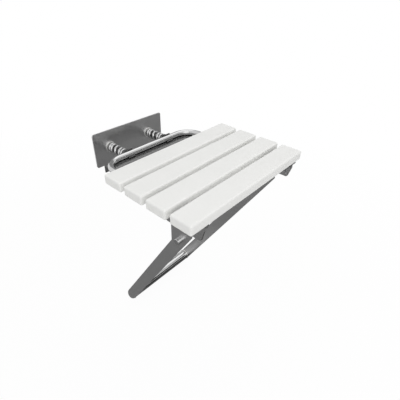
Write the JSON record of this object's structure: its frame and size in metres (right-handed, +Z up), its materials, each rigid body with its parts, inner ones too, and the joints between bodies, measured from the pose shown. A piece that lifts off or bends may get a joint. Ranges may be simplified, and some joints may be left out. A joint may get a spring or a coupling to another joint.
{
  "type": "fold down wall seat",
  "caption": "Wall-hung slatted seat that folds up about a round bar carried on sprung stand-offs, with a swinging front leg that reaches back to the floor.",
  "frame": {"origin": "centre of the wall plate's back face, on the wall", "axes": "+X along the slats, +Y into the wall, +Z up; seat lowered and leg down"},
  "size_m": [0.36, 0.4234, 0.509],
  "materials": {
    "white_slat": "satin white moulded slat",
    "plate_steel": "polished stainless sheet",
    "leg_steel": "polished stainless flat bar",
    "sheet_steel": "polished stainless sheet, folded",
    "chrome_tube": "mirror-polished stainless tube",
    "chrome_wire": "polished spring wire",
    "bright_steel": "turned stainless",
    "spring_steel": "plain spring steel",
    "zinc_steel": "plain stainless stud",
    "black_nylon": "matt black nylon"
  },
  "bodies": {
    "wall": {"wall_plate": "plate_steel", "wall_studs": "zinc_steel", "guide_rod_left": "bright_steel", "guide_rod_right": "bright_steel", "spring_washer_left": "bright_steel", "spring_washer_right": "bright_steel", "coil_spring_left": "chrome_wire", "coil_spring_right": "chrome_wire", "bar_cradle_left": "bright_steel", "bar_cradle_right": "bright_steel", "cradle_liner_left": "black_nylon", "cradle_liner_right": "black_nylon"},
    "seat": {"seat_tube": "chrome_tube", "tube_plug_left": "black_nylon", "tube_plug_right": "black_nylon", "rear_channel": "sheet_steel", "slat_1": "white_slat", "slat_2": "white_slat", "slat_3": "white_slat", "slat_4": "white_slat", "slat_screws": "bright_steel", "bracket_screws": "bright_steel", "leg_bracket_left": "sheet_steel", "leg_bracket_right": "sheet_steel", "leg_ear_left": "sheet_steel", "leg_ear_right": "sheet_steel", "leg_pin_left": "bright_steel", "leg_pin_right": "bright_steel", "pin_clip_left": "spring_steel", "pin_clip_right": "spring_steel", "pin_spacer_left": "bright_steel", "pin_spacer_right": "bright_steel"},
    "leg": {"leg_arm_left": "leg_steel", "leg_arm_right": "leg_steel", "arm_bush_left": "black_nylon", "arm_bush_right": "black_nylon", "foot_tube": "chrome_tube", "leg_stretcher": "bright_steel"}
  },
  "joints": [
    {"name": "seat_fold", "type": "hinge", "parent": "wall", "child": "seat", "pos_m": [0, -0.078, 0.0085], "axis": [-1, 0, 0], "range_deg": [0, 95]},
    {"name": "leg_fold", "type": "hinge", "parent": "seat", "child": "leg", "pos_m": [0, -0.3116, -0.0095], "axis": [1, 0, 0], "range_deg": [0, 63]}
  ]
}
